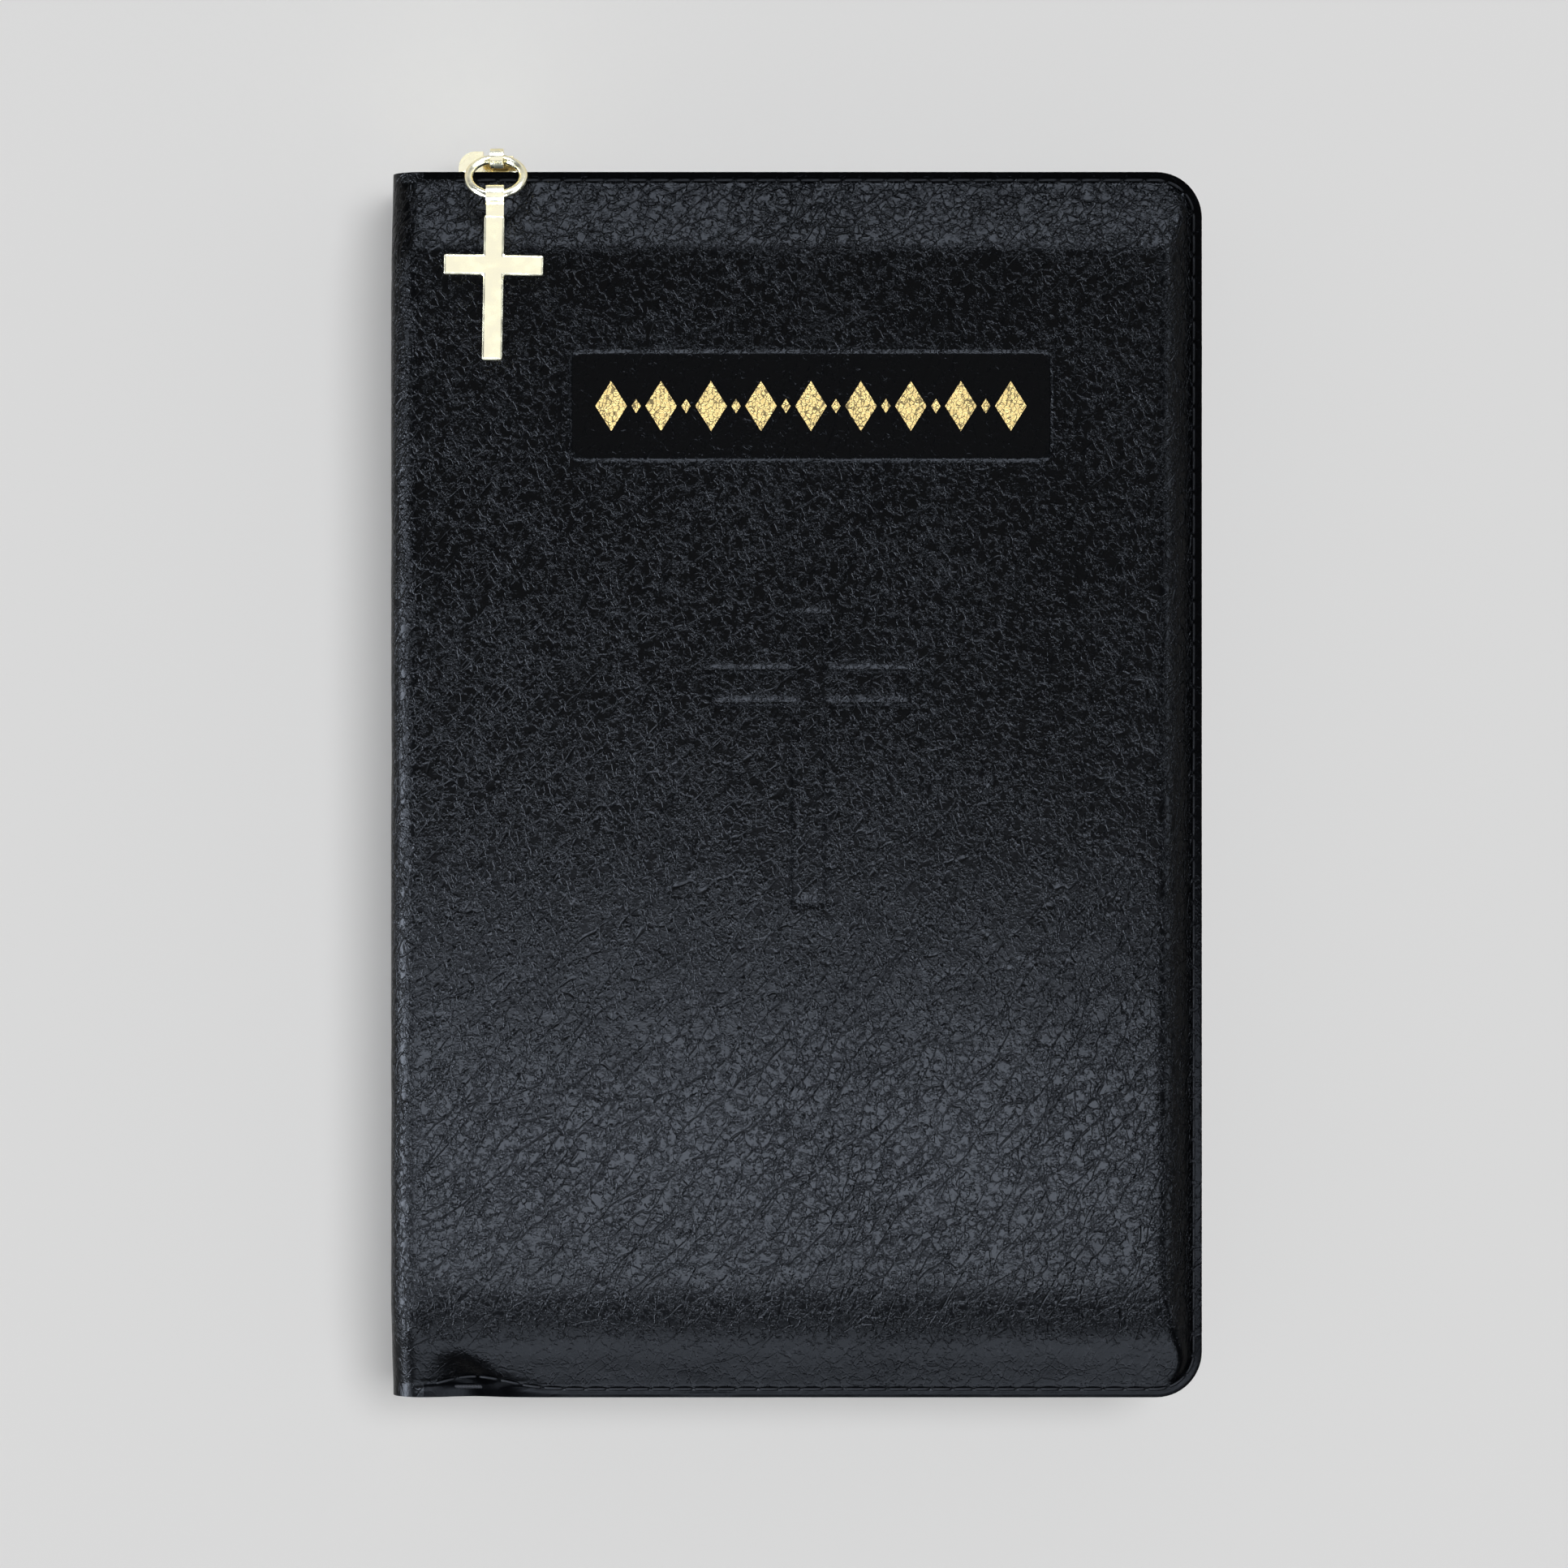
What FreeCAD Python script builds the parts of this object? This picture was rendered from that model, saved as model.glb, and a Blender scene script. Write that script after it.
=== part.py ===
"""Zip-round leather prayer book, lying on its back cover with the spine at the left.

Millimetres. Origin at the middle of the back cover's flat outer face, +X from spine to
fore-edge, +Y from foot to head, +Z from back cover to front cover.
"""

import FreeCAD, Part
import math
import os

V = FreeCAD.Vector

# Covers
COVER_WIDTH = 124.0
COVER_HEIGHT = 187.4
BOOK_THICKNESS = 36.0
CORNER_RADIUS = 7.0
LEATHER = 1.3
FLANGE_WIDTH = 2.2  # flat stitched border round the three open sides
RIM_DROP = 5.0  # how far the border lies below the raised panel
END_SLOPE = 12.2  # from the head or foot edge to where the panel is flat
FORE_SLOPE = 5.5
PANEL_RADIUS = 8.0
BOARD = 1.4
LINING = 0.6

# Spine
SPINE_RADIUS = 5.0
HINGE_GAP = 0.3
HINGE_LIFT = 0.2  # the hinge line lies just above the leather

# Pages
BLOCK_SPINE_INSET = 5.0
BLOCK_FORE_INSET = 8.0
BLOCK_END_INSET = 7.95
SPINE_BULGE = 2.4
FORE_HOLLOW = 2.0
PAGE_RADIUS = 6.0
LEAF = 0.25
LEAF_GAP = 0.3
LEAF_SPINE_INSET = 3.5
LEAF_EDGE_INSET = 0.75
SPINE_LINER = 0.8
HEADBAND_DEPTH = 0.8
HEADBAND_WIDTH = 2.0

# Ribbon markers: name, middle along X, which parting of the pages
RIBBONS = (
    ("ribbon_red", -34.0, 0),
    ("ribbon_gold", -12.0, 0),
    ("ribbon_green", -23.0, 1),
    ("ribbon_purple", 2.0, 1),
)
RIBBON_WIDTH = 5.0
RIBBON = 0.15
RIBBON_TAIL = 2.6

# Title panel and cross pressed into the front cover
TITLE_X = 2.2
TITLE_DROP = 36.1  # from the head edge to the panel's middle
TITLE_WIDTH = 73.2
TITLE_HEIGHT = 16.5
TITLE_RADIUS = 1.5
PRESS_DEPTH = 0.3
FOIL = 0.1
LOZENGE_COUNT = 9
LOZENGE_PITCH = 7.6
LOZENGE = (2.4, 3.8)  # half width, half height
SMALL_LOZENGE = (0.7, 1.1)
CREST_X = 2.2
CREST_DROP = 89.7
CREST_HEIGHT = 44.0
CREST_WIDTH = 30.0
CREST_BAR = 5.0

# Zip
TAPE = 0.6
TAPE_INSET = 1.2
COIL_INSET = 0.2
COIL_HEIGHT = 2.6
COIL_MIDDLE_GAP = 0.9
TAPE_BEHIND_COIL = 0.8  # how far the tape's edge stands back from the coil's edge
TAPE_SPINE_INSET = 6.0
COIL_SPINE_INSET = 8.6
STOP_LENGTH = 1.6
STOP_GAP = 0.2
STITCH_INSET = 1.1
STITCH_WIDTH = 0.5
STITCH_RISE = 0.3

# Slider
SLIDER_LENGTH = 10.2
SLIDER_HEIGHT = 8.0
SLIDER_SPINE_INSET = 9.4
OUTER_PLATE = 1.0
INNER_PLATE = 0.8
SLIDER_RADIUS = 2.6
SLIDE_CLEARANCE = 0.25
DIVIDER_LENGTH = 3.5
DIVIDER_CLEARANCE = 0.2
LIP = 0.75
LIP_CLEARANCE = 0.2
CROWN_RISE = 3.25  # the raised ends of the slider stand this far over its outer plate
CROWN_HEIGHT = 2.4
CROWN_RADIUS = 2.6
CROWN_GAP = 0.3  # beside the pull
CROWN_END = 0.35  # the crown stops this far from the plate's ends

# Pull tab, ring and cross
PULL_OFFSET = 1.7  # the pull stands this far from the slider's middle
PIVOT_STAND = 0.95  # pin's height over the outer plate
PIVOT_RISE = 1.0  # pin's height over the zip's middle
PIN_RADIUS = 0.6
PIN_CLEARANCE = 0.05
LUG = 1.0
LUG_RADIUS = 1.1
LUG_GAP = 0.15
TAB_THICKNESS = 1.2
TAB_WIDTH = 4.8
TAB_FOOT_WIDTH = 2.4
TAB_FOOT_RADIUS = 0.9
EYE_WIDTH = 2.0
EYE_WALL = 0.55
EYE_OVER_RIM = 0.2  # eye's middle over the border's top
RING_WIRE = 0.65  # radius
LINK_CLEARANCE = 0.3
RING_REACH = 6.1  # from the eye to the bail, along -Y
RING_RISE = 5.7  # from the eye to the bail, along +Z
BAIL_WIDTH = 2.7
BAIL_CLEARANCE = 0.42
BAIL_WALL = 0.45
BAIL_LENGTH = 3.2  # from the bail's hole to the top of the cross
CROSS_LENGTH = 21.9
CROSS_SPAN = 15.1
CROSS_BAR = 3.1
CROSS_THICKNESS = 1.2
CROSS_ARM_DROP = 5.9  # from the top of the cross to the arms
CROSS_BEVEL = 0.25
BAIL_LAP = 0.6

# Derived places
SPINE_X = -COVER_WIDTH / 2
FORE_X = COVER_WIDTH / 2
HEAD_Y = COVER_HEIGHT / 2
MIDDLE_Z = BOOK_THICKNESS / 2
RIM_Z = BOOK_THICKNESS - RIM_DROP
JOINT_X = SPINE_X + SPINE_RADIUS
COVER_LEFT = JOINT_X + HINGE_GAP
COVER_PACK = LEATHER + BOARD + LINING
BLOCK_LEFT = SPINE_X + BLOCK_SPINE_INSET
BLOCK_RIGHT = FORE_X - BLOCK_FORE_INSET
BLOCK_HEAD = HEAD_Y - BLOCK_END_INSET
LEAF_Z = BOOK_THICKNESS - COVER_PACK - LEAF_GAP - LEAF
BLOCK_TOP = LEAF_Z - LEAF_GAP
BLOCK_BOTTOM = BOOK_THICKNESS - BLOCK_TOP
TITLE_Y = HEAD_Y - TITLE_DROP
CREST_Y = HEAD_Y - CREST_DROP
TAPE_FACE = HEAD_Y - TAPE_INSET
COIL_LOW = MIDDLE_Z + COIL_MIDDLE_GAP / 2
SLIDER_LEFT = SPINE_X + SLIDER_SPINE_INSET
SLIDER_X = SLIDER_LEFT + SLIDER_LENGTH / 2
PLATE_Y = HEAD_Y - COIL_INSET + SLIDE_CLEARANCE
PULL_X = SLIDER_X + PULL_OFFSET
PIVOT_Y = PLATE_Y + OUTER_PLATE + PIVOT_STAND
PIVOT_Z = MIDDLE_Z + PIVOT_RISE
EYE_Z = RIM_Z + EYE_OVER_RIM
EYE_RADIUS = RING_WIRE + LINK_CLEARANCE
BAIL_Y = PIVOT_Y - RING_REACH
BAIL_Z = EYE_Z + RING_RISE


def box(x, y, z):
    """A box between the low and high value of each of x, y and z."""
    size = [b - a for a, b in (x, y, z)]
    return Part.makeBox(*size, V(x[0], y[0], z[0]))


def centred_box(middle, size):
    return Part.makeBox(*size, V(*middle) - V(*size) * 0.5)


def closed_wire(points):
    return Part.makePolygon([V(*p) for p in points] + [V(*points[0])])


def rod(start, direction, radius, length):
    return Part.makeCylinder(radius, length, V(*start), V(*direction))


def outline(left, right, half, radius, z):
    """A plan outline with square corners at the left and round ones at the right."""
    low, high = V(left, -half, z), V(left, half, z)
    diagonal = radius * (1 - math.sqrt(0.5))
    edges = [Part.LineSegment(low, V(right - radius, -half, z))]
    edges.append(
        Part.Arc(
            V(right - radius, -half, z),
            V(right - diagonal, -half + diagonal, z),
            V(right, -half + radius, z),
        )
    )
    edges.append(Part.LineSegment(V(right, -half + radius, z), V(right, half - radius, z)))
    edges.append(
        Part.Arc(
            V(right, half - radius, z),
            V(right - diagonal, half - diagonal, z),
            V(right - radius, half, z),
        )
    )
    edges.append(Part.LineSegment(V(right - radius, half, z), high))
    edges.append(Part.LineSegment(high, low))
    return Part.Wire([e.toShape() for e in edges])


def slab(left, right, half, radius, low, high):
    face = Part.Face(outline(left, right, half, radius, low))
    return face.extrude(V(0, 0, high - low))


def rim_wall(left, outer, inner, low, high):
    """A wall along head, fore-edge and foot, between two insets from the cover's edge."""
    radius = CORNER_RADIUS
    whole = slab(left, FORE_X - outer, HEAD_Y - outer, radius - outer, low, high)
    hole = slab(left - 1, FORE_X - inner, HEAD_Y - inner, radius - inner, low - 1, high + 1)
    return whole.cut(hole)


def to_back(shape):
    """The matching piece of the back cover: the same shape upside down."""
    return shape.mirror(V(0, 0, MIDDLE_Z), V(0, 0, 1))


def cover_dome(left, drop):
    """The raised body of a cover down to its border, lowered by drop."""
    low = outline(
        left,
        FORE_X - FLANGE_WIDTH,
        HEAD_Y - FLANGE_WIDTH,
        CORNER_RADIUS - FLANGE_WIDTH,
        RIM_Z - drop,
    )
    high = outline(
        left, FORE_X - FORE_SLOPE, HEAD_Y - END_SLOPE, PANEL_RADIUS, BOOK_THICKNESS - drop
    )
    return Part.makeLoft([low, high], True, True)


def cover_leather(left):
    border = slab(left, FORE_X, HEAD_Y, CORNER_RADIUS, RIM_Z - LEATHER, RIM_Z)
    skin = border.fuse(cover_dome(left, 0))
    return skin.cut(cover_dome(left - 1, LEATHER)).removeSplitter()


def rounded_plate(middle, width, height, radius, low, high):
    x, y = middle
    plate = box((x - width / 2, x + width / 2), (y - height / 2, y + height / 2), (low, high))
    upright = [e for e in plate.Edges if abs(e.tangentAt(e.FirstParameter).z) > 0.9]
    return plate.makeFillet(radius, upright)


def title_press():
    middle = (TITLE_X, TITLE_Y)
    low = BOOK_THICKNESS - PRESS_DEPTH
    return rounded_plate(
        middle, TITLE_WIDTH, TITLE_HEIGHT, TITLE_RADIUS, low, BOOK_THICKNESS + 1
    )


def crest_press():
    """A plain Latin cross, its arms a quarter of its height above its middle."""
    z = BOOK_THICKNESS
    upright = centred_box((CREST_X, CREST_Y, z), (CREST_BAR, CREST_HEIGHT, 2 * PRESS_DEPTH))
    arms_y = CREST_Y + CREST_HEIGHT / 4
    arms = centred_box((CREST_X, arms_y, z), (CREST_WIDTH, CREST_BAR, 2 * PRESS_DEPTH))
    return upright.fuse(arms)


def front_leather():
    return cover_leather(COVER_LEFT).cut(title_press()).cut(crest_press())


def cover_board(left):
    high = BOOK_THICKNESS - LEATHER
    half = HEAD_Y - END_SLOPE - LEATHER / 2
    right = FORE_X - FORE_SLOPE - LEATHER
    return slab(left, right, half, PANEL_RADIUS, high - BOARD, high)


def cover_lining(left):
    high = BOOK_THICKNESS - LEATHER - BOARD
    half = HEAD_Y - END_SLOPE + LEATHER
    right = FORE_X - FORE_SLOPE - LEATHER / 2
    return slab(left, right, half, PANEL_RADIUS, high - LINING, high)


def lozenge(x, half):
    """A foil lozenge in the title panel, its middle at x."""
    corners = ((x - half[0], 0), (x, -half[1]), (x + half[0], 0), (x, half[1]))
    low = BOOK_THICKNESS - PRESS_DEPTH
    outline = closed_wire([(a, TITLE_Y + b, low) for a, b in corners])
    return Part.Face(outline).extrude(V(0, 0, FOIL))


def title_foil():
    """A row of foil lozenges with a small one in each gap."""
    first = TITLE_X - (LOZENGE_COUNT - 1) * LOZENGE_PITCH / 2
    solids = [lozenge(first + k * LOZENGE_PITCH, LOZENGE) for k in range(LOZENGE_COUNT)]
    for k in range(LOZENGE_COUNT - 1):
        solids.append(lozenge(first + (k + 0.5) * LOZENGE_PITCH, SMALL_LOZENGE))
    return Part.makeCompound(solids)


def spine_section(y, drop, inset, right):
    """The spine's round section at y, its flat ends at x = right."""
    high, low = BOOK_THICKNESS - drop - inset, drop + inset
    left, radius = SPINE_X + inset, SPINE_RADIUS - inset
    near = left + radius
    diagonal = radius * (1 - math.sqrt(0.5))
    edges = [Part.LineSegment(V(right, y, high), V(near, y, high))]
    edges.append(
        Part.Arc(
            V(near, y, high), V(left + diagonal, y, high - diagonal), V(left, y, high - radius)
        )
    )
    edges.append(Part.LineSegment(V(left, y, high - radius), V(left, y, low + radius)))
    edges.append(
        Part.Arc(V(left, y, low + radius), V(left + diagonal, y, low + diagonal), V(near, y, low))
    )
    edges.append(Part.LineSegment(V(near, y, low), V(right, y, low)))
    edges.append(Part.LineSegment(V(right, y, low), V(right, y, high)))
    return Part.Wire([e.toShape() for e in edges])


def spine_body(inset, right):
    flat = HEAD_Y - END_SLOPE
    stations = ((-HEAD_Y, RIM_DROP), (-flat, 0), (flat, 0), (HEAD_Y, RIM_DROP))
    wires = [spine_section(y, drop, inset, right) for y, drop in stations]
    return Part.makeLoft(wires, True, True)


def spine_leather():
    edge = JOINT_X + LEATHER
    shell = spine_body(0, edge).cut(spine_body(LEATHER, edge + 1))
    beyond = box((JOINT_X, edge + 1), (-HEAD_Y - 1, HEAD_Y + 1), (-1, BOOK_THICKNESS + 1))
    return shell.cut(beyond)


def spine_arc(shift):
    """The pages' round back, moved by shift along X, from top to bottom."""
    x = BLOCK_LEFT + shift
    y = -BLOCK_HEAD
    return V(x, y, BLOCK_TOP), V(x - SPINE_BULGE, y, MIDDLE_Z), V(x, y, BLOCK_BOTTOM)


def whole_block():
    """The pages in one piece: round back, hollow fore-edge, round outer corners."""
    top, back, bottom = spine_arc(0)
    y = -BLOCK_HEAD
    fore_top, fore_bottom = V(BLOCK_RIGHT, y, BLOCK_TOP), V(BLOCK_RIGHT, y, BLOCK_BOTTOM)
    hollow = V(BLOCK_RIGHT - FORE_HOLLOW, y, MIDDLE_Z)
    edges = [
        Part.Arc(top, back, bottom),
        Part.LineSegment(bottom, fore_bottom),
        Part.Arc(fore_bottom, hollow, fore_top),
        Part.LineSegment(fore_top, top),
    ]
    face = Part.Face(Part.Wire([e.toShape() for e in edges]))
    block = face.extrude(V(0, 2 * BLOCK_HEAD, 0))
    plan = slab(SPINE_X, BLOCK_RIGHT, BLOCK_HEAD, PAGE_RADIUS, 0, BOOK_THICKNESS)
    return block.common(plan)


def partings():
    """The heights at which ribbon markers part the pages."""
    third = (BLOCK_TOP - BLOCK_BOTTOM) / 3
    return BLOCK_BOTTOM + third, BLOCK_TOP - third


def pages():
    lower, upper = partings()
    block = whole_block()
    x, y = (SPINE_X, FORE_X), (-HEAD_Y, HEAD_Y)
    gap = LEAF_GAP / 2
    spans = {
        "pages_back": (0, lower - gap),
        "pages_middle": (lower + gap, upper - gap),
        "pages_front": (upper + gap, BOOK_THICKNESS),
    }
    return {name: block.common(box(x, y, span)) for name, span in spans.items()}


def back_strip(start, length, near, far):
    """A strip that follows the pages' round back between two shifts along X."""
    a, b = spine_arc(near), spine_arc(far)
    edges = [
        Part.Arc(*a),
        Part.LineSegment(a[2], b[2]),
        Part.Arc(b[2], b[1], b[0]),
        Part.LineSegment(b[0], a[0]),
    ]
    face = Part.Face(Part.Wire([e.toShape() for e in edges]))
    strip = face.extrude(V(0, length, 0))
    strip.translate(V(0, start + BLOCK_HEAD, 0))
    return strip


def leaf(low):
    left, right = BLOCK_LEFT + LEAF_SPINE_INSET, BLOCK_RIGHT - LEAF_EDGE_INSET
    half = BLOCK_HEAD - LEAF_EDGE_INSET
    return slab(left, right, half, PAGE_RADIUS, low, low + LEAF)


def ribbon(x, parting):
    z = partings()[parting]
    y = (-BLOCK_HEAD - RIBBON_TAIL, BLOCK_HEAD - LEAF_EDGE_INSET)
    half = RIBBON_WIDTH / 2
    return box((x - half, x + half), y, (z - RIBBON / 2, z + RIBBON / 2))


def zip_tape():
    left = SPINE_X + TAPE_SPINE_INSET
    low = COIL_LOW + TAPE_BEHIND_COIL
    return rim_wall(left, TAPE_INSET, TAPE_INSET + TAPE, low, RIM_Z - LEATHER)


def zip_coil():
    left = SPINE_X + COIL_SPINE_INSET
    return rim_wall(left, COIL_INSET, TAPE_INSET, COIL_LOW, COIL_LOW + COIL_HEIGHT)


def zip_stops():
    """A crimped stop at the head end and the foot end of one row."""
    high = SPINE_X + COIL_SPINE_INSET - STOP_GAP
    x, z = (high - STOP_LENGTH, high), (COIL_LOW, COIL_LOW + COIL_HEIGHT)
    head = box(x, (TAPE_FACE, HEAD_Y - COIL_INSET), z)
    foot = box(x, (COIL_INSET - HEAD_Y, -TAPE_FACE), z)
    return Part.makeCompound([head, foot])


def stitching(left):
    outer, inner = STITCH_INSET - STITCH_WIDTH / 2, STITCH_INSET + STITCH_WIDTH / 2
    return rim_wall(left, outer, inner, RIM_Z, RIM_Z + STITCH_RISE)


def slider_plate(low, thickness):
    """A slider plate in the zip's plane, from y = low outwards."""
    x = (SLIDER_LEFT, SLIDER_LEFT + SLIDER_LENGTH)
    z = (MIDDLE_Z - SLIDER_HEIGHT / 2, MIDDLE_Z + SLIDER_HEIGHT / 2)
    plate = box(x, (low, low + thickness), z)
    through = [e for e in plate.Edges if abs(e.tangentAt(e.FirstParameter).y) > 0.9]
    return plate.makeFillet(SLIDER_RADIUS, through)


def slider_lip():
    """The lip that holds the front row. The back row's side is open."""
    low = COIL_LOW + COIL_HEIGHT + LIP_CLEARANCE
    half = SLIDER_LENGTH / 2 - SLIDER_RADIUS
    x = (SLIDER_X - half, SLIDER_X + half)
    return box(x, (TAPE_FACE + LIP_CLEARANCE, PLATE_Y + OUTER_PLATE / 2), (low, low + LIP))


def slider_lugs():
    """Two ears that hold the pull's pin."""
    pin = rod((PULL_X - TAB_WIDTH, PIVOT_Y, PIVOT_Z), (1, 0, 0), PIN_RADIUS, 2 * TAB_WIDTH)
    lugs = []
    for side in (-1, 1):
        inner = PULL_X + side * (TAB_FOOT_WIDTH / 2 + LUG_GAP)
        start = min(inner, inner + side * LUG)
        ear = rod((start, PIVOT_Y, PIVOT_Z), (1, 0, 0), LUG_RADIUS, LUG)
        y = (PLATE_Y + OUTER_PLATE / 2, PIVOT_Y)
        foot = box((start, start + LUG), y, (PIVOT_Z - LUG_RADIUS, PIVOT_Z + LUG_RADIUS))
        lugs.append(ear.fuse(foot).cut(pin))
    return lugs


def slider_crown():
    """An arch along the outer plate, open in its middle for the pull."""
    x = (SLIDER_LEFT + CROWN_END, SLIDER_LEFT + SLIDER_LENGTH - CROWN_END)
    y = (PLATE_Y, PLATE_Y + OUTER_PLATE + CROWN_RISE)
    arch = box(x, y, (PIVOT_Z - CROWN_HEIGHT / 2, PIVOT_Z + CROWN_HEIGHT / 2))
    upright = [e for e in arch.Edges if abs(e.tangentAt(e.FirstParameter).z) > 0.9]
    outer = [e for e in upright if e.CenterOfMass.y > PLATE_Y + OUTER_PLATE]
    arch = arch.makeFillet(CROWN_RADIUS, outer)
    half = TAB_WIDTH / 2 + CROWN_GAP
    window = box(
        (PULL_X - half, PULL_X + half),
        (PLATE_Y + OUTER_PLATE / 2, y[1] + 1),
        (PIVOT_Z - CROWN_HEIGHT, PIVOT_Z + CROWN_HEIGHT),
    )
    return arch.cut(window).Solids


def slider_body():
    inner = slider_plate(TAPE_FACE - TAPE - SLIDE_CLEARANCE - INNER_PLATE, INNER_PLATE)
    outer = slider_plate(PLATE_Y, OUTER_PLATE)
    y = (TAPE_FACE - TAPE - SLIDE_CLEARANCE - INNER_PLATE / 2, PLATE_Y + OUTER_PLATE / 2)
    half = COIL_MIDDLE_GAP / 2 - DIVIDER_CLEARANCE
    x = (SLIDER_X - DIVIDER_LENGTH / 2, SLIDER_X + DIVIDER_LENGTH / 2)
    divider = box(x, y, (MIDDLE_Z - half, MIDDLE_Z + half))
    body = outer.fuse([inner, divider, slider_lip()] + slider_lugs() + slider_crown())
    return body.removeSplitter()


def pull_pin():
    half = TAB_FOOT_WIDTH / 2 + LUG_GAP + LUG
    return rod((PULL_X - half, PIVOT_Y, PIVOT_Z), (1, 0, 0), PIN_RADIUS, 2 * half)


def pull_tab():
    """A flat tab with a narrow foot on the pin and a narrow eye for the ring."""
    foot_top = PIVOT_Z + LUG_RADIUS + 2 * LUG_GAP
    eye_outer = EYE_RADIUS + EYE_WALL
    plate_top = EYE_Z - eye_outer
    middle = (foot_top + plate_top) / 2
    size = (TAB_WIDTH, TAB_THICKNESS, plate_top - foot_top)
    plate = centred_box((PULL_X, PIVOT_Y, middle), size)
    foot_start = (PULL_X - TAB_FOOT_WIDTH / 2, PIVOT_Y, PIVOT_Z)
    foot = rod(foot_start, (1, 0, 0), TAB_FOOT_RADIUS, TAB_FOOT_WIDTH)
    neck_height = foot_top + LUG_GAP - PIVOT_Z
    neck_middle = (PULL_X, PIVOT_Y, PIVOT_Z + neck_height / 2)
    neck = centred_box(neck_middle, (TAB_FOOT_WIDTH, TAB_THICKNESS, neck_height))
    eye = rod((PULL_X - EYE_WIDTH / 2, PIVOT_Y, EYE_Z), (1, 0, 0), eye_outer, EYE_WIDTH)
    throat_middle = (PULL_X, PIVOT_Y, EYE_Z - eye_outer)
    throat = centred_box(throat_middle, (EYE_WIDTH, TAB_THICKNESS, eye_outer))
    tab = plate.fuse([foot, neck, eye, throat])
    hole = rod((PULL_X - EYE_WIDTH, PIVOT_Y, EYE_Z), (1, 0, 0), EYE_RADIUS, 2 * EYE_WIDTH)
    bore_start = (PULL_X - TAB_WIDTH, PIVOT_Y, PIVOT_Z)
    bore = rod(bore_start, (1, 0, 0), PIN_RADIUS + PIN_CLEARANCE, 2 * TAB_WIDTH)
    return tab.cut(hole).cut(bore).removeSplitter()


def ring():
    """A round ring through the tab's eye and the cross's bail."""
    reach = math.hypot(RING_REACH, RING_RISE)
    middle = V(PULL_X, PIVOT_Y - RING_REACH / 2, EYE_Z + RING_RISE / 2)
    normal = V(0, RING_RISE, RING_REACH)
    return Part.makeTorus(reach / 2, RING_WIRE, middle, normal)


def cross_bail():
    """A strap folded round the ring, its tail lapped on the cross."""
    inner = RING_WIRE + BAIL_CLEARANCE
    start = (PULL_X - BAIL_WIDTH / 2, BAIL_Y, BAIL_Z)
    loop = rod(start, (1, 0, 0), inner + BAIL_WALL, BAIL_WIDTH)
    y = (BAIL_Y - BAIL_LENGTH, BAIL_Y)
    tail = box(
        (PULL_X - BAIL_WIDTH / 2, PULL_X + BAIL_WIDTH / 2),
        y,
        (BAIL_Z - BAIL_LAP / 2, BAIL_Z + BAIL_LAP / 2),
    )
    hole = rod((start[0] - 1, BAIL_Y, BAIL_Z), (1, 0, 0), inner, BAIL_WIDTH + 2)
    return loop.fuse(tail).cut(hole).removeSplitter()


def cross_charm():
    """A plain Latin cross with bevelled edges on its front."""
    top = BAIL_Y - BAIL_LENGTH
    z = BAIL_Z
    upright = centred_box(
        (PULL_X, top - CROSS_LENGTH / 2, z), (CROSS_BAR, CROSS_LENGTH, CROSS_THICKNESS)
    )
    arms_y = top - CROSS_ARM_DROP - CROSS_BAR / 2
    arms = centred_box((PULL_X, arms_y, z), (CROSS_SPAN, CROSS_BAR, CROSS_THICKNESS))
    cross = upright.fuse(arms).removeSplitter()
    face_z = z + CROSS_THICKNESS / 2
    rim = [e for e in cross.Edges if all(abs(v.Z - face_z) < 1e-6 for v in e.Vertexes)]
    return cross.makeChamfer(CROSS_BEVEL, rim)


def front_nodes():
    left = COVER_LEFT
    return {
        "front_leather": front_leather(),
        "front_board": cover_board(left + LEATHER),
        "front_lining": cover_lining(left + LEATHER),
        "front_stitching": stitching(left + LEATHER),
        "front_zip_tape": zip_tape(),
        "front_zip_coil": zip_coil(),
        "front_zip_stops": zip_stops(),
        "title_foil": title_foil(),
    }


def back_nodes():
    left = JOINT_X
    return {
        "back_leather": to_back(cover_leather(left)),
        "back_board": to_back(cover_board(left + LEATHER)),
        "back_lining": to_back(cover_lining(left + LEATHER)),
        "back_stitching": to_back(stitching(left + LEATHER)),
        "back_zip_tape": to_back(zip_tape()),
        "back_zip_coil": to_back(zip_coil()),
        "back_zip_stops": to_back(zip_stops()),
        "back_flyleaf": to_back(leaf(LEAF_Z)),
        "spine_leather": spine_leather(),
    }


def block_nodes():
    nodes = pages()
    nodes["spine_liner"] = back_strip(-BLOCK_HEAD, 2 * BLOCK_HEAD, 0, -SPINE_LINER)
    band = HEADBAND_WIDTH / 2
    nodes["headband_head"] = back_strip(BLOCK_HEAD, HEADBAND_DEPTH, band, -band)
    foot = -BLOCK_HEAD - HEADBAND_DEPTH
    nodes["headband_foot"] = back_strip(foot, HEADBAND_DEPTH, band, -band)
    for name, x, parting in RIBBONS:
        nodes[name] = ribbon(x, parting)
    return nodes


def pull_nodes():
    return {
        "slider_body": slider_body(),
        "pull_pin": pull_pin(),
        "pull_tab": pull_tab(),
        "ring": ring(),
        "cross_bail": cross_bail(),
        "cross_charm": cross_charm(),
    }


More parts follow.
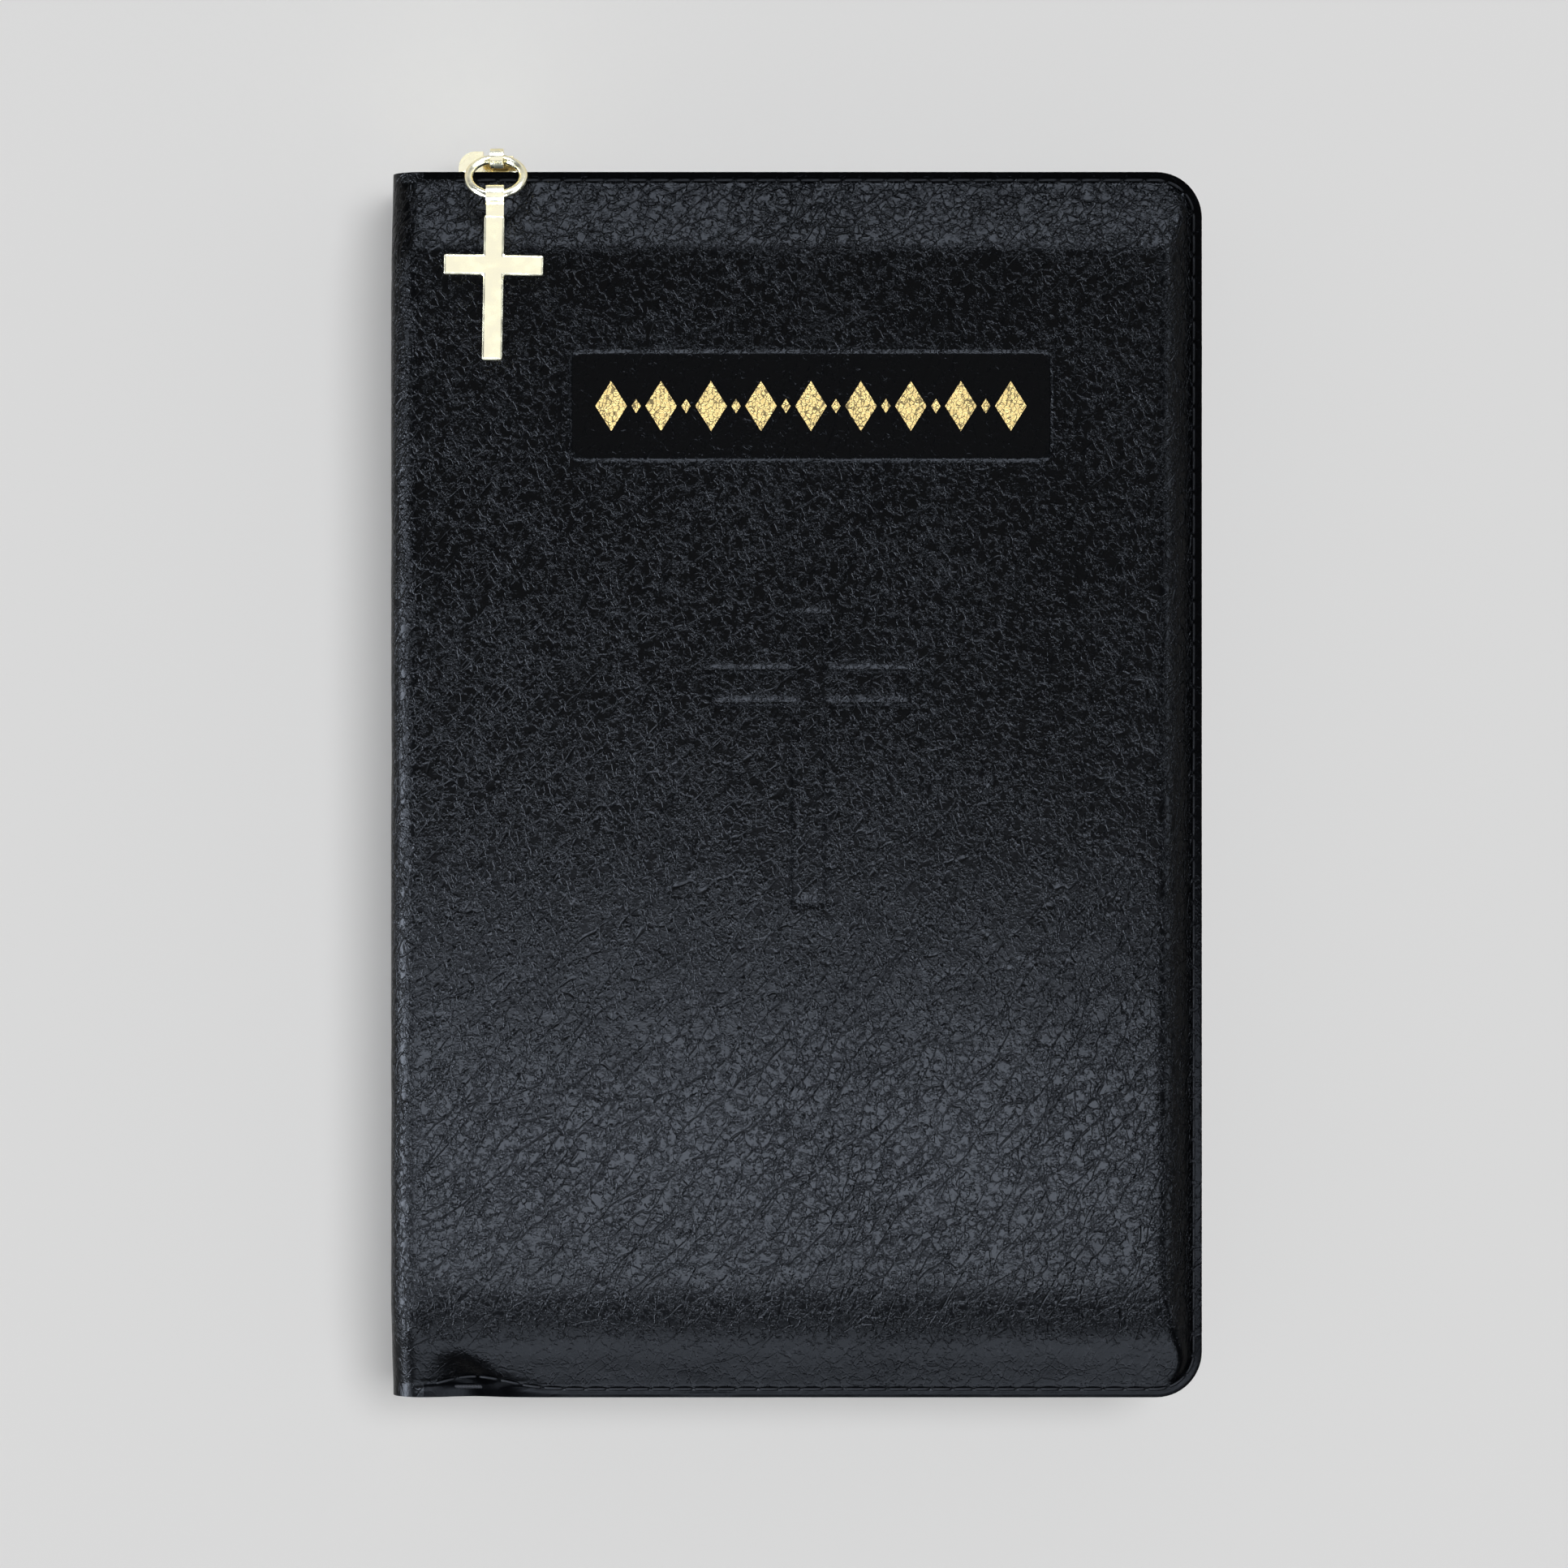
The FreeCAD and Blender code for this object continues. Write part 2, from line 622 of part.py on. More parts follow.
def main():
    os.makedirs("parts", exist_ok=True)
    nodes = {"front_flyleaf": leaf(LEAF_Z)}
    for group in (front_nodes(), back_nodes(), block_nodes(), pull_nodes()):
        nodes.update(group)
    for name, shape in nodes.items():
        shape.exportStep(f"parts/{name}.step")
        print(name, len(shape.Solids), shape.isValid(), round(shape.Volume, 1))
    print("hinge", JOINT_X + HINGE_GAP / 2, BOOK_THICKNESS + HINGE_LIFT)
    print("leaf", BLOCK_LEFT + LEAF_SPINE_INSET, LEAF_Z)
    print("pivot", PULL_X, PIVOT_Y, PIVOT_Z)
    print("eye", EYE_Z, "bail", BAIL_Y, BAIL_Z)


main()
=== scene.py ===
"""The prayer book's looks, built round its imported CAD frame. Metres, +X fore-edge, +Y head, +Z up."""

import math

import bpy
import numpy as np
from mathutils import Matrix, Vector, noise


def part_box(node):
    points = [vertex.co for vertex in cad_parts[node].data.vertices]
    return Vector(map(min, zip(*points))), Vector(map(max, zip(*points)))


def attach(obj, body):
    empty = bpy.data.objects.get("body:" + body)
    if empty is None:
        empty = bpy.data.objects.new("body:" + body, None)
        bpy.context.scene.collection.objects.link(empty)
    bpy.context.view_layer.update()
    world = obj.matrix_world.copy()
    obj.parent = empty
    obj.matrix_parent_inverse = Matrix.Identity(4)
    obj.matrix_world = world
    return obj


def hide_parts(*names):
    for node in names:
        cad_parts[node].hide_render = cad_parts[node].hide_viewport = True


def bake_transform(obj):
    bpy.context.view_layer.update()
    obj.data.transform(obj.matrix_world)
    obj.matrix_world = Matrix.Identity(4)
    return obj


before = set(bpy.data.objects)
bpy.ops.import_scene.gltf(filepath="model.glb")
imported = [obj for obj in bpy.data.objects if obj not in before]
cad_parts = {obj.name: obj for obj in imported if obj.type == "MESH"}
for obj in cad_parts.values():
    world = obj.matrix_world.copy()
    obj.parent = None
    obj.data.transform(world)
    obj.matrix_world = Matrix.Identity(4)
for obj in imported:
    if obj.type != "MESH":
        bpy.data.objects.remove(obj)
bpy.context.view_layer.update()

MM = 0.001

# Sizes that the frame gives
LEATHER_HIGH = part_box("front_leather")[1]
SPINE_LOW, SPINE_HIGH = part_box("spine_leather")
STITCH_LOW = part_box("front_stitching")[0]
COIL_LOW, COIL_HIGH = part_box("front_zip_coil")
TAPE_LOW, TAPE_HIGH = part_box("front_zip_tape")
FOIL_LOW, FOIL_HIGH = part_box("title_foil")
CROSS_LOW, CROSS_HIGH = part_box("cross_charm")
BAIL_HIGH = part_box("cross_bail")[1]
HEAD = LEATHER_HIGH.y
FORE = LEATHER_HIGH.x
SPINE = SPINE_LOW.x
HINGE = SPINE_HIGH.x
TOP = LEATHER_HIGH.z
RIM = STITCH_LOW.z
MIDDLE = TOP / 2
RISE = TOP - RIM  # from the stitched border to the flat of the cover

# Leather
LEATHER = 1.2 * MM
CORNER = 7.0 * MM
FLANGE = 1.8 * MM  # flat border's width
END_SLOPE = 12.2 * MM  # from the head or foot edge to where the cover is flat
FORE_SLOPE = 4.2 * MM
END_ROUND = 0.7 * MM
FOOT_ROUND = 2.6 * MM  # how much softer the slope's top gets towards the foot
SIDE_ROUND = 6.0 * MM
SPINE_RADIUS = SPINE_HIGH.x - SPINE_LOW.x
SPINE_WAVES = 0.2 * MM
COVER_WAVES = 0.16 * MM
SKIN_BEVEL = 0.35 * MM
GRID = 0.95 * MM

# Pressed panel and cross
TITLE_MIDDLE = ((FOIL_LOW.x + FOIL_HIGH.x) / 2, (FOIL_LOW.y + FOIL_HIGH.y) / 2)
TITLE_HALF = (36.6 * MM, 8.25 * MM)
TITLE_DEPTH = TOP - FOIL_LOW.z
TITLE_RADIUS = 1.5 * MM
CREST_MIDDLE = (TITLE_MIDDLE[0], 4.0 * MM)
CREST_HALF = (15.0 * MM, 22.0 * MM)
CREST_BAR = 2.5 * MM  # half a bar's width
CREST_ARMS = 11.0 * MM  # arms' height over the cross's middle
CREST_GROOVE = 0.45 * MM
CREST_DEPTH = 0.30 * MM

# The pinch at the foot, beside the spine
PINCH_X = SPINE + 12.5 * MM
PINCH_DEPTH = 1.7 * MM
PINCH_REACH = 5.6 * MM

# Stitches and zip
STITCH_INSET = 1.25 * MM
STITCH_SWING = 1.9 * MM  # how far the seam swings inwards at the pinch
STITCH_LENGTH = 2.7 * MM
STITCH_PITCH = 3.3 * MM
STITCH_STEP = 0.3 * MM
STITCH_CHANNEL = 0.22 * MM
CHANNEL_WIDTH = 0.35 * MM
THREAD = 0.22 * MM  # radius
THREAD_ARCH = 1.3  # how high a stitch arches, in radii
THREAD_SINK = 0.75  # how much of the arch lies under the leather
TAPE_INSET = 1.5 * MM
TAPE_STEP = 1.2 * MM
TAPE_CLOTH = 0.5 * MM
COIL_INSET = 0.72 * MM
COIL_DEPTH = 0.42 * MM
COIL_PITCH = 1.5 * MM
COIL_TURN = 12  # points in one turn
COIL_WIRE = 0.24 * MM
COIL_MEET = 0.35 * MM  # how far each row's turns reach past the zip's middle

# Ribbons and gold
RIBBON = 0.12 * MM
RIBBON_SLANT = 0.9 * MM
CROSS_BAR = 3.1 * MM
CROSS_ARM_DROP = 5.9 * MM
CROSS_BEVEL = 0.32 * MM
CROSS_TURN = math.radians(-1.0)
RING_WIRE = 0.65 * MM
LOZENGES = 9
LOZENGE_HALF = 2.4 * MM
SMALL_LOZENGE = (0.7 * MM, 1.1 * MM)

# Studio
WORLD_LIGHT = 0.14
FLOOR_HALF = 20.0
LENS, SENSOR, VIEW_WIDTH = 135.0, 36.0, 239.8 * MM
VIEW_MIDDLE = (-1.9 * MM, 0.1 * MM)
VIEW_END = 10.0
COOL = (0.88, 0.98, 1.16)

GROUP = bpy.context.scene.collection


# ---------------------------------------------------------------- mesh helpers
def mesh_object(name, points, faces, smooth=True):
    """A new piece in the scene from its points and faces."""
    mesh = bpy.data.meshes.new(name)
    mesh.from_pydata([tuple(p) for p in points], [], faces)
    mesh.update()
    if smooth:
        mesh.polygons.foreach_set("use_smooth", [True] * len(mesh.polygons))
    thing = bpy.data.objects.new(name, mesh)
    GROUP.objects.link(thing)
    return thing


def grid_faces(rows, columns, ring=False):
    """Quads over rows by columns of points. A ring joins the last column to the first."""
    faces = []
    last = columns if ring else columns - 1
    for r in range(rows - 1):
        for c in range(last):
            d = (c + 1) % columns
            faces.append((r * columns + c, r * columns + d, (r + 1) * columns + d, (r + 1) * columns + c))
    return faces


def apply_modifiers(thing):
    """Turns a piece's modifiers into mesh."""
    graph = bpy.context.evaluated_depsgraph_get()
    graph.update()
    mesh = bpy.data.meshes.new_from_object(thing.evaluated_get(graph))
    thing.modifiers.clear()
    thing.data = mesh
    return thing


def add_bevel(thing, width, segments=2, angle=40):
    """Rounds the edges that turn by more than the angle, in degrees."""
    bevel = thing.modifiers.new("bevel", "BEVEL")
    bevel.width = width
    bevel.segments = segments
    bevel.limit_method = "ANGLE"
    bevel.angle_limit = math.radians(angle)


def shade(thing, material, body, slot, *nodes):
    """Gives a piece its material and body, and hides the CAD nodes that it stands for. The slot is not
    used.
    """
    thing.data.materials.clear()
    thing.data.materials.append(material)
    if body:
        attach(thing, body)
    if nodes:
        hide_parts(*nodes)
    return thing


def tube(path, radius, sides=8, closed=False):
    """Points and faces of a tube along a path of vectors."""
    path = [Vector(p) for p in path]
    count = len(path)
    points = []
    side = None
    for i, p in enumerate(path):
        before = path[i - 1] if i or closed else path[0]
        after = path[(i + 1) % count] if i < count - 1 or closed else path[-1]
        along = (after - before).normalized()
        if side is None:
            side = along.orthogonal().normalized()
        side = (side - along * side.dot(along)).normalized()
        up = along.cross(side)
        for k in range(sides):
            a = 2 * math.pi * k / sides
            points.append(p + radius * (math.cos(a) * side + math.sin(a) * up))
    faces = grid_faces(count, sides, ring=True)
    if closed:
        start = (count - 1) * sides
        for k in range(sides):
            m = (k + 1) % sides
            faces.append((start + k, start + m, m, k))
    else:
        faces.append(tuple(reversed(range(sides))))
        faces.append(tuple(range((count - 1) * sides, count * sides)))
    return points, faces


def join_parts(parts):
    """One list of points and one of faces from several pairs of them."""
    points, faces = [], []
    for p, f in parts:
        offset = len(points)
        points.extend(p)
        faces.extend(tuple(i + offset for i in face) for face in f)
    return points, faces


def prism(outline, low, high):
    """Points and faces of an outline of (x, y) pairs between two heights."""
    n = len(outline)
    points = [(x, y, low) for x, y in outline] + [(x, y, high) for x, y in outline]
    faces = [tuple(reversed(range(n))), tuple(range(n, 2 * n))]
    faces += [(i, (i + 1) % n, (i + 1) % n + n, i + n) for i in range(n)]
    return points, faces


# ------------------------------------------------------------ material helpers
class Nodes:
    """A material's node tree with short calls for the nodes that repeat."""

    def __init__(self, name, colour, roughness, **sockets):
        self.material = bpy.data.materials.new(name)
        self.material.use_nodes = True
        self.tree = self.material.node_tree
        self.shader = self.tree.nodes["Principled BSDF"]
        self.shader.inputs["Base Color"].default_value = (*colour, 1)
        self.shader.inputs["Roughness"].default_value = roughness
        for socket, value in sockets.items():
            self.shader.inputs[socket.replace("_", " ")].default_value = value
        self.place = self.node("ShaderNodeTexCoord").outputs["Object"]

    def node(self, kind, **settings):
        made = self.tree.nodes.new(kind)
        for name, value in settings.items():
            setattr(made, name, value)
        return made

    def link(self, output, target):
        if isinstance(target, bpy.types.NodeSocket):
            self.tree.links.new(output, target)
        else:
            self.tree.links.new(output, self.shader.inputs[target])

    def put(self, value, socket):
        """A number stays on the socket, and an output is linked to it."""
        if isinstance(value, bpy.types.NodeSocket):
            self.tree.links.new(value, socket)
        else:
            socket.default_value = value

    def axis(self, name, vector=None):
        """One part of the place, or of the vector when one is given."""
        split = self.node("ShaderNodeSeparateXYZ")
        self.put(self.place if vector is None else vector, split.inputs[0])
        return split.outputs[name]

    def math(self, kind, a, b=0.0, c=0.0):
        made = self.node("ShaderNodeMath", operation=kind)
        for value, socket in zip((a, b, c), made.inputs):
            self.put(value, socket)
        return made.outputs[0]

    def stretch(self, vector, scale, turn=0.0):
        """The vector scaled, after a turn in plan when one is given."""
        made = self.node("ShaderNodeMapping", vector_type="TEXTURE" if turn else "POINT")
        self.put(vector, made.inputs["Vector"])
        made.inputs["Rotation"].default_value = (0, 0, turn)
        if turn:
            scale = tuple(1 / s for s in scale)
        made.inputs["Scale"].default_value = scale
        return made.outputs[0]

    def noise(self, scale, detail=3.0, rough=0.5, vector=None):
        made = self.node("ShaderNodeTexNoise")
        made.inputs["Scale"].default_value = scale
        made.inputs["Detail"].default_value = detail
        made.inputs["Roughness"].default_value = rough
        self.put(self.place if vector is None else vector, made.inputs["Vector"])
        return made

    def voronoi(self, scale, vector):
        """Distance to the nearest edge between cells."""
        made = self.node("ShaderNodeTexVoronoi", feature="DISTANCE_TO_EDGE")
        made.inputs["Scale"].default_value = scale
        self.put(vector, made.inputs["Vector"])
        return made.outputs["Distance"]

    def wander(self, vector, scale, amount):
        """The vector moved about by noise, so that straight cells turn into curled ones."""
        colour = self.noise(scale, 2.0, 0.5, vector).outputs["Color"]
        middle = self.node("ShaderNodeVectorMath", operation="SUBTRACT")
        self.put(colour, middle.inputs[0])
        middle.inputs[1].default_value = (0.5, 0.5, 0.5)
        moved = self.node("ShaderNodeVectorMath", operation="MULTIPLY_ADD")
        self.put(middle.outputs[0], moved.inputs[0])
        moved.inputs[1].default_value = (amount,) * 3
        self.put(vector, moved.inputs[2])
        return moved.outputs[0]

    def ramp(self, value, low, high, to_low=0.0, to_high=1.0):
        made = self.node("ShaderNodeMapRange", interpolation_type="SMOOTHSTEP")
        self.put(value, made.inputs["Value"])
        for name, number in zip(("From Min", "From Max", "To Min", "To Max"), (low, high, to_low, to_high)):
            made.inputs[name].default_value = number
        return made.outputs["Result"]

    def blend_colour(self, factor, a, b):
        made = self.node("ShaderNodeMix", data_type="RGBA")
        self.put(factor, made.inputs["Factor"])
        for value, socket in ((a, made.inputs[6]), (b, made.inputs[7])):
            self.put((*value, 1) if isinstance(value, tuple) else value, socket)
        return made.outputs[2]

    def bump(self, height, distance, strength=1.0):
        made = self.node("ShaderNodeBump")
        self.put(height, made.inputs["Height"])
        made.inputs["Distance"].default_value = distance
        made.inputs["Strength"].default_value = strength
        return made.outputs["Normal"]


# ------------------------------------------------------------------- materials
def leather_wrinkles(m):
    """Curled raised wrinkles of two sizes, with longer creases across them."""
    curled = m.wander(m.stretch(m.place, (1.0, 0.75, 1.0), 0.3), 620, 0.0024)
    wrinkles = m.ramp(m.voronoi(680, curled), 0.13, 0.0)
    broken = m.ramp(m.noise(620, 2).outputs["Fac"], 0.36, 0.56)
    fine = m.ramp(m.voronoi(1500, m.wander(m.place, 1300, 0.0012)), 0.20, 0.0)
    sparse = m.ramp(m.noise(900, 2).outputs["Fac"], 0.40, 0.58)
    diagonal = m.wander(m.stretch(m.place, (1.0, 0.36, 1.0), -0.6), 190, 0.0060)
    creases = m.ramp(m.voronoi(300, diagonal), 0.055, 0.0)
    raised = m.math("MULTIPLY", wrinkles, broken)
    raised = m.math("MULTIPLY_ADD", m.math("MULTIPLY", fine, sparse), 0.4, raised)
    return m.math("MULTIPLY_ADD", creases, -0.7, raised)


def leather_material(name, relief=1.0, shine=0.05):
    """Black leather, wrinkled and finely pored, pulled smooth near the foot."""
    m = Nodes(name, (0.0012, 0.0013, 0.0018), 0.30, Specular_IOR_Level=shine)
    raised = leather_wrinkles(m)
    patches = m.ramp(m.noise(38, 3).outputs["Fac"], 0.32, 0.66, 0.6, 1.0)
    grain = m.noise(1350, 2, 0.5).outputs["Fac"]
    pores = m.noise(4200, 2, 0.6).outputs["Fac"]
    height = m.math("MULTIPLY_ADD", grain, 0.22, m.math("MULTIPLY", raised, patches))
    pulled_flat = m.ramp(m.axis("Y"), -HEAD + 7.5 * MM, -HEAD + 13 * MM, 0.22, 1.0)
    height = m.math("MULTIPLY", height, pulled_flat)
    height = m.math("MULTIPLY_ADD", pores, 0.05, height)
    m.link(m.bump(height, 0.115 * MM * relief, 1.0), "Normal")
    # Base colour follows the relief: darker in the creases and lighter on the raised wrinkles, as painted
    # shade in the creases and a faint painted highlight on the wrinkles.
    m.link(m.blend_colour(raised, (0.0005, 0.0006, 0.0009), (0.0014, 0.0016, 0.0022)), "Base Color")
    m.link(m.ramp(m.math("MULTIPLY_ADD", pores, -0.4, raised), -0.3, 1.0, 0.27, 0.18), "Roughness")
    return m.material


def gold_material():
    """Light gold plating with a faint brushed waviness."""
    edge_tint = (1.0, 0.82, 0.42, 1)
    m = Nodes("gold_plating", (0.94, 0.87, 0.66), 0.22, Metallic=1.0, Specular_Tint=edge_tint)
    haze = m.noise(500, 3).outputs["Fac"]
    m.link(m.ramp(haze, 0.3, 0.7, 0.17, 0.30), "Roughness")
    tint = m.blend_colour(m.ramp(haze, 0.35, 0.65), (0.95, 0.90, 0.69), (0.93, 0.87, 0.62))
    m.link(tint, "Base Color")
    m.link(m.bump(m.noise(900, 2).outputs["Fac"], 0.01 * MM, 0.5), "Normal")
    return m.material


def foil_material():
    """Stamped gold foil, broken where it bridges the leather's grain."""
    m = Nodes("gold_foil", (0.72, 0.53, 0.24), 0.36, Metallic=0.9)
    grain = m.ramp(m.voronoi(1500, m.wander(m.place, 900, 0.0007)), 0.02, 0.16)
    speck = m.ramp(m.noise(2600, 3, 0.7).outputs["Fac"], 0.36, 0.46)
    whole = m.math("MULTIPLY", grain, speck)
    m.link(m.blend_colour(whole, (0.07, 0.05, 0.02), (0.52, 0.37, 0.14)), "Base Color")
    m.link(m.ramp(whole, 0.0, 1.0, 0.65, 0.42), "Roughness")
    m.link(m.bump(whole, 0.05 * MM, 0.8), "Normal")
    return m.material


def page_material():
    """Cream paper with gilt edges: upright faces are gilt, with the lines of the leaves."""
    m = Nodes("gilt_pages", (0.66, 0.58, 0.44), 0.6, Specular_IOR_Level=0.15)
    facing_up = m.axis("Z", m.node("ShaderNodeNewGeometry").outputs["Normal"])
    upright = m.ramp(m.math("ABSOLUTE", facing_up), 0.85, 0.6)
    layers = m.noise(1.0, 2, 0.6, m.stretch(m.place, (25, 25, 9000))).outputs["Fac"]
    gilt = m.blend_colour(layers, (0.55, 0.38, 0.12), (0.98, 0.80, 0.42))
    fibre = m.blend_colour(m.noise(700, 4).outputs["Fac"], (0.60, 0.52, 0.38), (0.70, 0.63, 0.48))
    m.link(m.blend_colour(upright, fibre, gilt), "Base Color")
    m.link(m.math("MULTIPLY", upright, 0.85), "Metallic")
    m.link(m.ramp(m.math("MULTIPLY", upright, layers), 0.0, 0.7, 0.62, 0.30), "Roughness")
    m.link(m.bump(layers, 0.06 * MM, 0.7), "Normal")
    return m.material


def paper_material(name, dark, light, scale=500):
    """Matt paper or board with its fibres."""
    m = Nodes(name, light, 0.7, Specular_IOR_Level=0.1)
    fibre = m.noise(scale, 4, 0.6).outputs["Fac"]
    m.link(m.blend_colour(fibre, dark, light), "Base Color")
    m.link(m.ramp(fibre, 0.2, 0.8, 0.62, 0.8), "Roughness")
    m.link(m.bump(fibre, 0.03 * MM, 0.5), "Normal")
    return m.material


def weave_material(name, dark, light, pitch):
    """Woven cloth: two crossed sets of threads, pitch apart."""
    m = Nodes(name, light, 0.75, Specular_IOR_Level=0.12)
    turn = 2 * math.pi / pitch
    across = m.math("ADD", m.axis("X"), m.axis("Y"))
    warp = m.math("SINE", m.math("MULTIPLY", m.math("ADD", across, m.axis("Z")), turn))
    weft = m.math("SINE", m.math("MULTIPLY", m.math("SUBTRACT", across, m.axis("Z")), turn))
    threads = m.math("MULTIPLY_ADD", m.math("MULTIPLY", warp, weft), 0.5, 0.5)
    fuzz = m.noise(2500, 3).outputs["Fac"]
    lightness = m.math("MULTIPLY_ADD", fuzz, 0.4, m.math("MULTIPLY", threads, 0.6))
    m.link(m.blend_colour(lightness, dark, light), "Base Color")
    m.link(m.bump(m.math("MULTIPLY_ADD", fuzz, 0.3, threads), 0.09 * MM, 0.8), "Normal")
    return m.material


def band_material(name, dark, light, pitch):
    """A rolled silk band, its colour changing along Z."""
    m = Nodes(name, light, 0.5, Sheen_Weight=0.4)
    stripe = m.math("SINE", m.math("MULTIPLY", m.axis("Z"), 2 * math.pi / pitch))
    m.link(m.blend_colour(m.ramp(stripe, -0.2, 0.2), dark, light), "Base Color")
    m.link(m.bump(stripe, 0.08 * MM, 0.8), "Normal")
    return m.material


def satin_material(name, colour):
    """Ribbon satin: fine threads along its length and a soft sheen."""
    m = Nodes(name, colour, 0.38, Sheen_Weight=0.5, Anisotropic=0.5)
    threads = m.noise(1.0, 2, 0.5, m.stretch(m.place, (9000, 60, 60))).outputs["Fac"]
    dark = tuple(c * 0.6 for c in colour)
    m.link(m.blend_colour(threads, dark, colour), "Base Color")
    m.link(m.ramp(threads, 0.2, 0.8, 0.32, 0.5), "Roughness")
    m.link(m.bump(threads, 0.02 * MM, 0.6), "Normal")
    return m.material


def nylon_material():
    """Black nylon, a little uneven in gloss."""
    m = Nodes("coil_nylon", (0.02, 0.02, 0.022), 0.32)
    speck = m.noise(1500, 2).outputs["Fac"]
    m.link(m.blend_colour(speck, (0.012, 0.012, 0.014), (0.03, 0.03, 0.033)), "Base Color")
    m.link(m.ramp(speck, 0.3, 0.7, 0.26, 0.42), "Roughness")
    return m.material


def thread_material():
    """Waxed black thread with its twist."""
    m = Nodes("stitch_thread", (0.0015, 0.0015, 0.002), 0.6, Specular_IOR_Level=0.08)
    ply = m.noise(1.0, 2, 0.5, m.stretch(m.place, (3500, 3500, 3500))).outputs["Fac"]
    m.link(m.blend_colour(ply, (0.0008, 0.0008, 0.0010), (0.0030, 0.0030, 0.0036)), "Base Color")
    m.link(m.bump(ply, 0.05 * MM, 0.8), "Normal")
    return m.material


# --------------------------------------------------------------- leather skins
def smooth_low(a, b, soft):
    """The lower of a and b, rounded over where they meet."""
    h = np.clip(0.5 + 0.5 * (b - a) / soft, 0, 1)
    return b + (a - b) * h - soft * h * (1 - h)


def outline_distance(x, y):
    """How far a point lies inside the cover's edge, round its corners too."""
    past_x = np.maximum(x - (FORE - CORNER), 0)
    past_y = np.maximum(np.abs(y) - (HEAD - CORNER), 0)
    corner = CORNER - np.hypot(past_x, past_y)
    straight = np.minimum(FORE - x, HEAD - np.abs(y))
    return np.where((past_x > 0) & (past_y > 0), corner, straight)


def edge_of_row(y):
    """The cover's edge along X at each y."""
    past = np.clip(np.abs(y) - (HEAD - CORNER), 0, CORNER)
    return FORE - CORNER + np.sqrt(np.maximum(CORNER**2 - past**2, 0))


def cover_height(x, y):
    """How high the leather stands over the border: long slopes at the ends, a steep one round the side."""
    to_edge = outline_distance(x, y)
    end_ramp = RISE * (HEAD - np.abs(y) - FLANGE) / (END_SLOPE - FLANGE)
    side_ramp = RISE * (to_edge - FLANGE) / (FORE_SLOPE - FLANGE)
    foot = np.clip(-y / HEAD, 0, 1)
    ends = smooth_low(end_ramp, RISE, END_ROUND + FOOT_ROUND * foot)
    side = smooth_low(side_ramp, RISE, SIDE_ROUND)
    return np.clip(np.minimum(ends, side), 0, RISE)


def box_distance(x, y, middle, half, radius):
    """Signed distance to a rounded rectangle, negative inside."""
    dx = np.abs(x - middle[0]) - half[0] + radius
    dy = np.abs(y - middle[1]) - half[1] + radius
    outside = np.hypot(np.maximum(dx, 0), np.maximum(dy, 0))
    return outside + np.minimum(np.maximum(dx, dy), 0) - radius


def crest_distance(x, y):
    """Signed distance to the pressed cross's outline."""
    upright = box_distance(x, y, CREST_MIDDLE, (CREST_BAR, CREST_HALF[1]), 0)
    arms_middle = (CREST_MIDDLE[0], CREST_MIDDLE[1] + CREST_ARMS)
    arms = box_distance(x, y, arms_middle, (CREST_HALF[0], CREST_BAR), 0)
    return np.minimum(upright, arms)


def step(value, width):
    """Smooth step from 0 to 1 as the value passes 0."""
    t = np.clip(value / width * 0.5 + 0.5, 0, 1)
    return t * t * (3 - 2 * t)


def pressings(x, y):
    """How deep the title panel and the cross's outline are pressed in."""
    title = box_distance(x, y, TITLE_MIDDLE, TITLE_HALF, TITLE_RADIUS)
    panel = TITLE_DEPTH * (1 - step(title, 0.3 * MM))
    lip = 0.12 * MM * np.exp(-((title - 0.5 * MM) / (0.35 * MM)) ** 2)
    groove = CREST_DEPTH * np.exp(-((np.abs(crest_distance(x, y)) / CREST_GROOVE) ** 2))
    return panel + groove, lip


def waviness(x, y, z, amount):
    """Slow unevenness of the leather, the same on every run."""
    octaves = ((1.0, 70), (0.5, 190), (0.25, 420))
    places = [Vector(p) for p in np.stack([x.ravel(), y.ravel(), z.ravel()], 1)]
    made = [sum(part * noise.noise(p * scale) for part, scale in octaves) for p in places]
    return amount * np.array(made).reshape(x.shape)


def spread(low, high, step_size, marks=()):
    """Even stations from low to high, with close ones about each mark."""
    count = max(2, round((high - low) / step_size) + 1)
    stations = set(np.linspace(low, high, count))
    for mark in marks:
        near = [s for s in stations if abs(s - mark) < 0.55 * MM]
        stations -= set(near)
        stations |= {mark + k * MM for k in (-0.45, -0.15, 0.15, 0.45)}
    return np.array(sorted(s for s in stations if low - 1e-9 <= s <= high + 1e-9))


def row_stations():
    """Stations along Y: closer round the corners and at the edges of the pressings."""
    title = [TITLE_MIDDLE[1] + s * TITLE_HALF[1] for s in (-1, 1)]
    arms = CREST_MIDDLE[1] + CREST_ARMS
    crest = [CREST_MIDDLE[1] + s * CREST_HALF[1] for s in (-1, 1)]
    crest += [arms + s * CREST_BAR for s in (-1, 1)]
    inner = spread(-HEAD + CORNER, HEAD - CORNER, GRID, title + crest)
    turns = np.linspace(0, math.pi / 2, 15)[1:]
    past = CORNER * np.sin(turns)
    return np.concatenate([-(HEAD - CORNER + past)[::-1], inner, HEAD - CORNER + past])


def column_stations():
    """Stations along X over the flat of the cover."""
    title = [TITLE_MIDDLE[0] + s * TITLE_HALF[0] for s in (-1, 1)]
    crest = [CREST_MIDDLE[0] + s * CREST_HALF[0] for s in (-1, 1)]
    crest += [CREST_MIDDLE[0] + s * CREST_BAR for s in (-1, 1)]
    return spread(HINGE, FORE - CORNER, GRID, title + crest)


